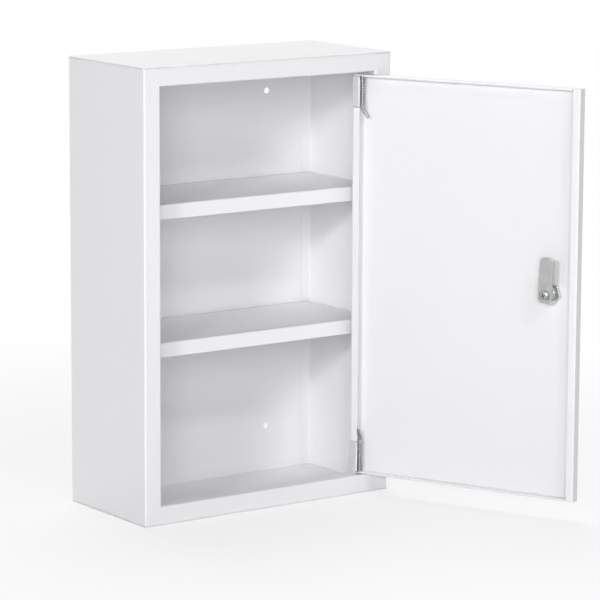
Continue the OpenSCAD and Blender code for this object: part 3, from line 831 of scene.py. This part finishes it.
def pan_screw():
    """A pan-head screw with a cross recess, whose two slots get smaller towards their floor."""
    tip = SEAT - SCREW_LENGTH
    bm = turned([(0, tip), (SCREW_R, tip), (SCREW_R, SEAT)]
                + [(radius * MM, SEAT + height * MM) for radius, height in PAN_HEAD])
    for turn in SLOT_TURNS:
        slot = block((-SLOT_HALF, -SLOT_WIDE, SLOT_LOW), (SLOT_HALF, SLOT_WIDE, SEAT + 4 * MM))
        bottom = [v for v in slot.verts if v.co.z < SLOT_LOW + SAME]
        bmesh.ops.scale(slot, verts=bottom, vec=(0.6, 0.8, 1))
        bmesh.ops.rotate(slot, verts=slot.verts, matrix=Matrix.Rotation(math.radians(turn), 3, "Z"))
        bm = carve(bm, slot)
    return bm


def lock_piece(bm, name, body, node_name, finish, edge_r=LOCK_EDGE_R, segments=2):
    soften(bm, edge_r, segments)
    piece(bm, name, body, [node_name], finish, IN_LOCK)


piece(housing(), "lock_barrel", "door", ["lock_housing"], NICKEL, IN_LOCK)
lock_piece(toothed_washer(), "toothed_washer", "door", "lock_washer", ZINC)
lock_piece(barrel_nut(), "barrel_nut", "door", "lock_nut", NICKEL)
lock_piece(key_plug(), "key_plug", "cam", "lock_plug", NICKEL)
lock_piece(carve(wafer_blocks(0), key_slot()), "key_wafers", "cam", "lock_wafers", BRASS)
lock_piece(stop_washer(), "stop_washer", "cam", "cam_stop_washer", ZINC)
lock_piece(cam_plate(), "cam_plate", "cam", "lock_cam", SATIN, CAM_EDGE_R, 3)
lock_piece(screw_ring(), "screw_ring", "cam", "screw_washer", ZINC)
lock_piece(pan_screw(), "pan_screw", "cam", "cam_screw", NICKEL_PAINTED_SHADE)

# ---------------------------------------------------------------- light and floor

WHITE = "#FFFFFF"
AMBIENT, AMBIENT_STRENGTH = "#F8F8FC", 0.05
FLOOR = "#E8E8EA"
FLOOR_HALF = 20.0                               # half the floor's width
FADE_START, FADE_END = 0.2, 0.9                 # from the cabinet's middle, where the floor turns white
FADE_LEAST = 0.7                                # how white the floor looks at FADE_START
LAMP_DISTANCE = 5.0
LAMP_TINT = "#FFFFFD"
# Each lamp's name, its azimuth and elevation in degrees, its width, and its power in watts
LAMPS = (("camera_softbox", -34, 10, 1.9, 90),
         ("front_softbox", -7, 40, 0.45, 33),
         ("right_softbox", 12, 20, 1.4, 11),
         ("left_softbox", -59, 17, 0.5, 75),
         ("overhead_softbox", 160, 65, 2.6, 164))


def white_to_the_eye(tree):
    """A factor that is 1 for rays that see the backdrop, straight or by reflection, and 0 for light."""
    path = node(tree, "ShaderNodeLightPath").outputs
    either = {"operation": "MAXIMUM"}
    seen = node(tree, "ShaderNodeMath", either, i0=path["Is Camera Ray"], i1=path["Is Glossy Ray"])
    return node(tree, "ShaderNodeMath", either, i0=seen.outputs["Value"],
                i1=path["Is Transmission Ray"]).outputs["Value"]


def set_world():
    """A dim, even light from all round, and a white that only the eye sees."""
    world = bpy.data.worlds.new("studio")
    bpy.context.scene.world = world
    world.use_nodes = True
    tree = world.node_tree
    tree.nodes.clear()
    ambient = node(tree, "ShaderNodeBackground", Color=colour(AMBIENT), Strength=AMBIENT_STRENGTH)
    white = node(tree, "ShaderNodeBackground", Color=colour(WHITE), Strength=1.0)
    mix = node(tree, "ShaderNodeMixShader", i0=white_to_the_eye(tree), i1=ambient.outputs[0],
               i2=white.outputs[0])
    node(tree, "ShaderNodeOutputWorld", Surface=mix.outputs[0])


def studio_floor():
    """Matt floor paper: pale, with the cabinet's soft shadow, and to the eye white further away."""
    material, tree, place = new_material("matt_floor_paper")
    paper = node(tree, "ShaderNodeBsdfDiffuse", Color=colour(FLOOR))
    white = node(tree, "ShaderNodeEmission", Color=colour(WHITE), Strength=1.0)
    away = node(tree, "ShaderNodeVectorMath", {"operation": "LENGTH"}, i0=place)
    fade = node(tree, "ShaderNodeMapRange", Value=away.outputs["Value"], From_Min=FADE_START,
                From_Max=FADE_END, To_Min=FADE_LEAST)
    seen = node(tree, "ShaderNodeMixShader", i0=fade.outputs["Result"], i1=paper.outputs[0],
                i2=white.outputs[0])
    mix = node(tree, "ShaderNodeMixShader", i0=white_to_the_eye(tree), i1=paper.outputs[0],
               i2=seen.outputs[0])
    node(tree, "ShaderNodeOutputMaterial", Surface=mix.outputs[0])
    return material


def set_floor():
    bm = bmesh.new()
    bmesh.ops.create_grid(bm, x_segments=1, y_segments=1, size=FLOOR_HALF)
    bmesh.ops.translate(bm, verts=bm.verts, vec=(0, 0, -HALF_H))
    floor = new_object("floor", new_mesh("floor", bm))
    floor.data.materials.append(studio_floor())


def softbox(name, azimuth, elevation, size, power):
    """A square lamp that faces the cabinet."""
    lamp = bpy.data.lights.new(name, "AREA")
    lamp.shape, lamp.size, lamp.energy = "SQUARE", size, power
    lamp.color = colour(LAMP_TINT)[:3]
    made = new_object(name, lamp)
    made.location = Vector((0, FRONT / 2, 0)) + look_from(made, azimuth, elevation) * LAMP_DISTANCE


set_world()
set_floor()
for lamp in LAMPS:
    softbox(*lamp)

bpy.context.scene.view_settings.view_transform = "Standard"
